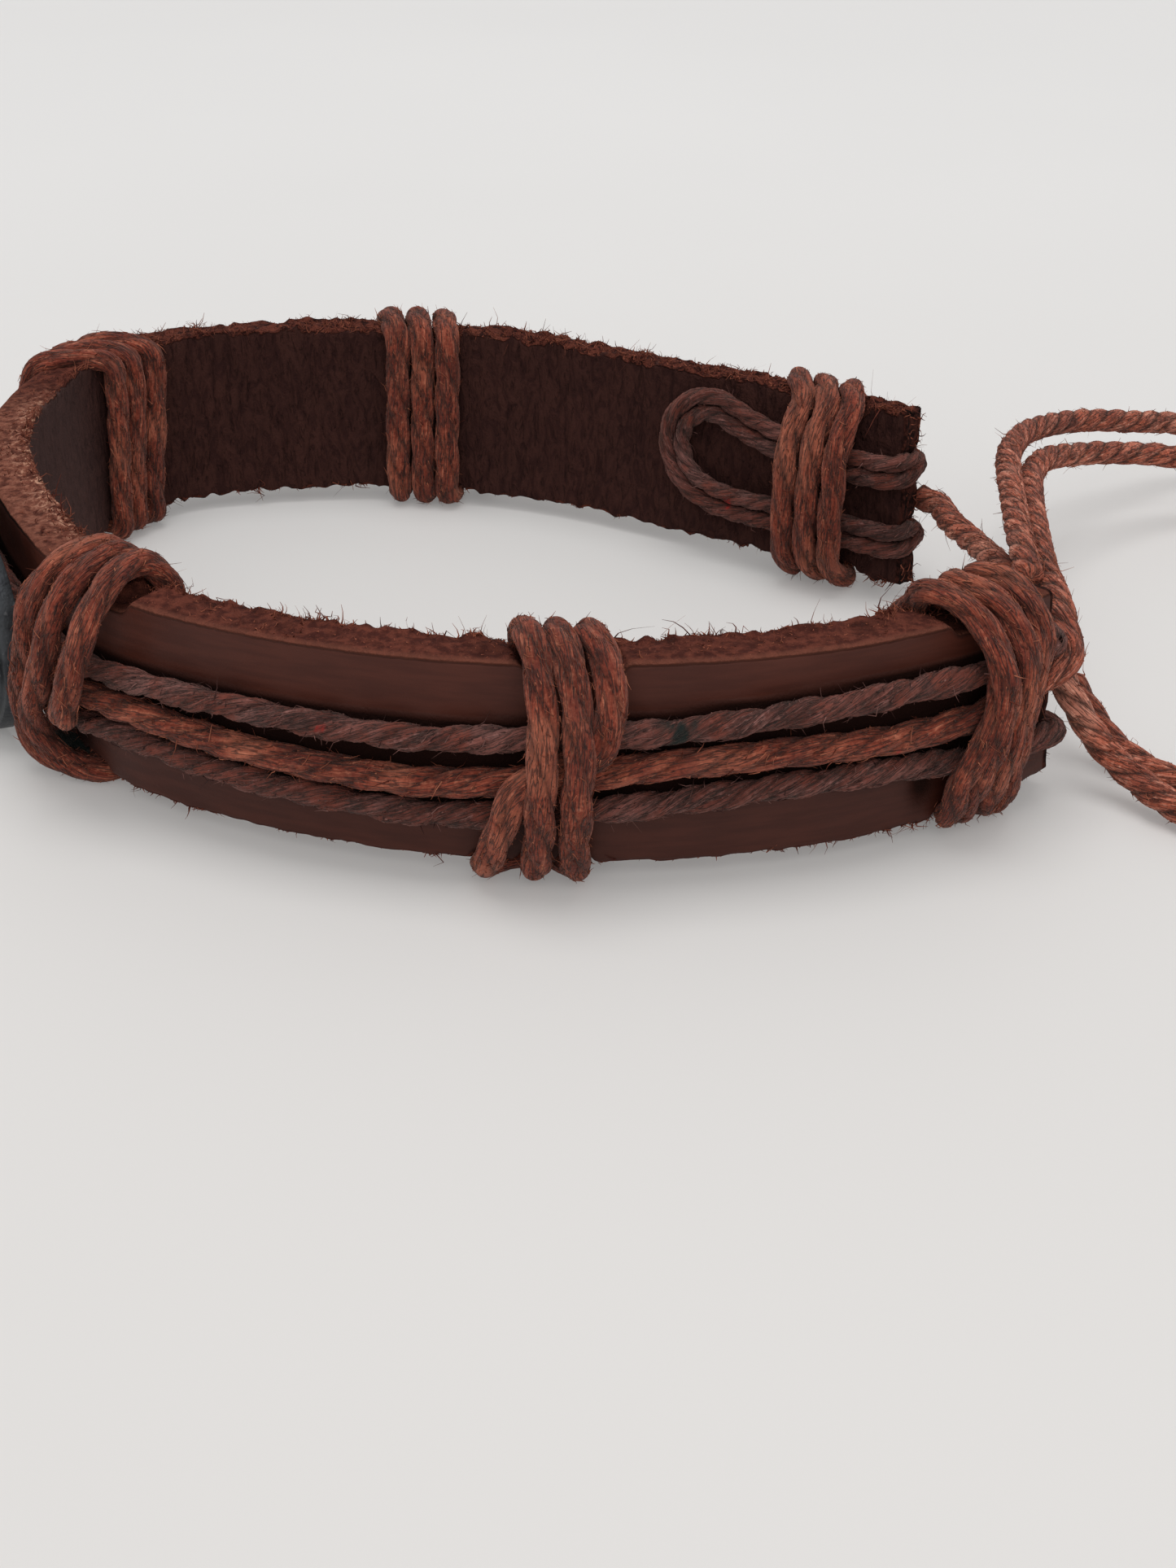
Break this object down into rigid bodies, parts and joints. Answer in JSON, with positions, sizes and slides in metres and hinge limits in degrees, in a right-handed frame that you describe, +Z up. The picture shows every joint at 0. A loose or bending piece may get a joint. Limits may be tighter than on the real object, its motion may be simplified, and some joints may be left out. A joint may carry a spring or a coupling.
{
  "type": "leather strap bracelet with cord lashings",
  "caption": "Open leather wristband lying on its lower edge, bound with twisted cord lashings, with cords along its outer face, a medallion and a doubled tie loop.",
  "frame": {"origin": "on the surface under the middle of the bracelet's box, measured without the loose tie cords", "axes": "+Z up from the surface, +Y away from the viewer, +X towards the open ends and the tie loop"},
  "size_m": [0.1106, 0.0656, 0.0147],
  "materials": {
    "leather": "smooth grain outside, matt flesh inside",
    "rust_cord": "matt",
    "plum_cord": "matt",
    "dark_metal": "satin",
    "green_stone": "polished"
  },
  "bodies": {
    "root": {"leather_band": "leather", "lashing_near_end": "rust_cord", "lashing_near_middle": "rust_cord", "lashing_near_bend": "rust_cord", "lashing_far_bend": "rust_cord", "lashing_far_middle": "rust_cord", "lashing_far_end": "rust_cord", "dark_cord": "plum_cord", "middle_cord": "rust_cord", "medallion_plate": "dark_metal", "medallion_stone": "green_stone", "tie_cord_near": "rust_cord", "tie_cord_far": "rust_cord"}
  },
  "joints": []
}
